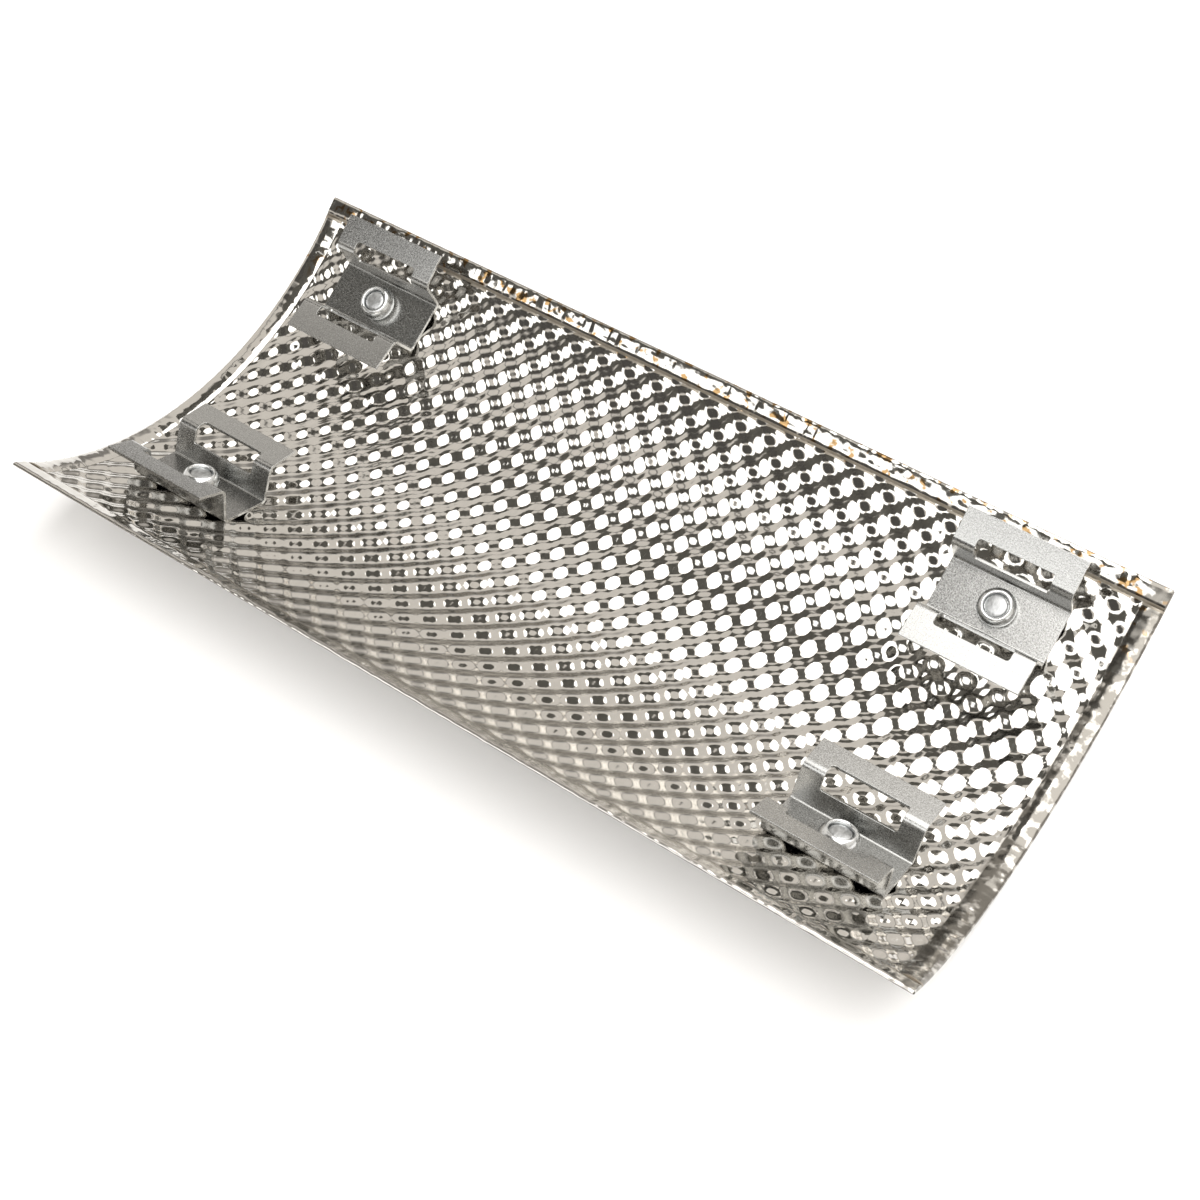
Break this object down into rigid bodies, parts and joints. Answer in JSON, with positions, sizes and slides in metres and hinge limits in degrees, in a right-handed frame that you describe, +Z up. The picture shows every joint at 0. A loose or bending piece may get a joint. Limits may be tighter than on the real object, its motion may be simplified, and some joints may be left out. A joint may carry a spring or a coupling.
{
  "type": "pipe heat shield",
  "caption": "Curved dimpled-steel shield with hemmed edges and riveted strap clips that hold it off a hot pipe under clamp bands.",
  "frame": {"origin": "on the floor under the middle of the shield, which lies on its back, hollow side up", "axes": "+X along the pipe, +Y across it towards the edge that the clips stand nearer to, +Z up, out of the hollow"},
  "size_m": [0.3048, 0.1492, 0.0387],
  "materials": {
    "dimpled_sheet": "bright embossed stainless sheet",
    "clip_strip": "satin mill-finish stainless strip",
    "rivet": "bright zinc plate",
    "mandrel": "bright zinc plate, broken end"
  },
  "bodies": {
    "root": {"shield_sheet": "dimpled_sheet", "strap_clip_far_left": "clip_strip", "strap_clip_near_left": "clip_strip", "strap_clip_far_right": "clip_strip", "strap_clip_near_right": "clip_strip", "rivet_sleeves": "rivet", "rivet_mandrels": "mandrel"}
  },
  "joints": []
}
